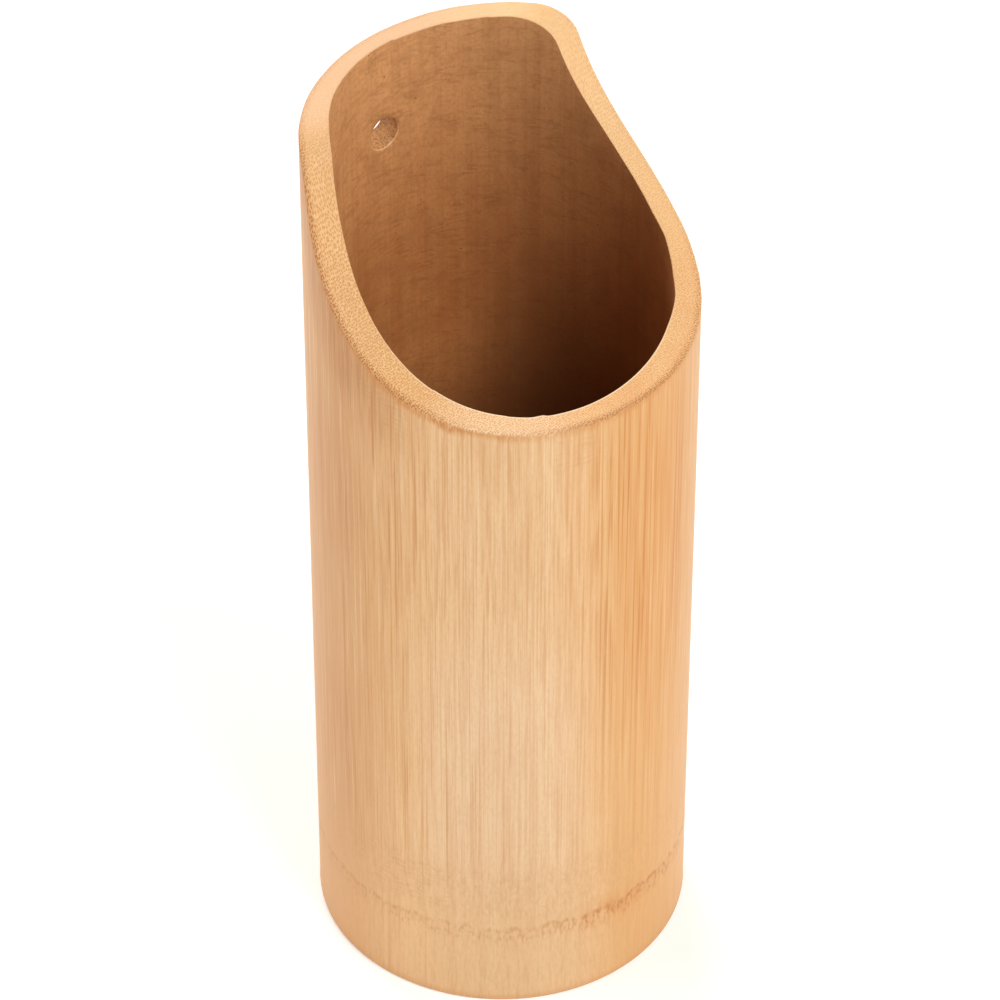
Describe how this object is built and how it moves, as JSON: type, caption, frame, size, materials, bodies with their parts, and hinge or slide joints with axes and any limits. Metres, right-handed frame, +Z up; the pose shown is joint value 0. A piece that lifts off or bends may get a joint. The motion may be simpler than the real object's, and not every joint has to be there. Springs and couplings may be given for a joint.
{
  "type": "bamboo pen holder",
  "caption": "Tall round bamboo pen holder with a curved slanting mouth, a high flat back with a hanging hole, and a node wall as its floor.",
  "frame": {"origin": "middle of the foot, on the surface that the holder stands on", "axes": "+Z up along the culm, +Y towards the high back with the hanging hole, -Y towards the low lip, +X to the right seen from the lip"},
  "size_m": [0.08, 0.08, 0.2049],
  "materials": {
    "culm": "scraped bamboo with a thin satin oil, fine upright fibres",
    "node": "raw matt bamboo"
  },
  "bodies": {
    "root": {"culm_wall": "culm", "node_floor": "node"}
  },
  "joints": []
}
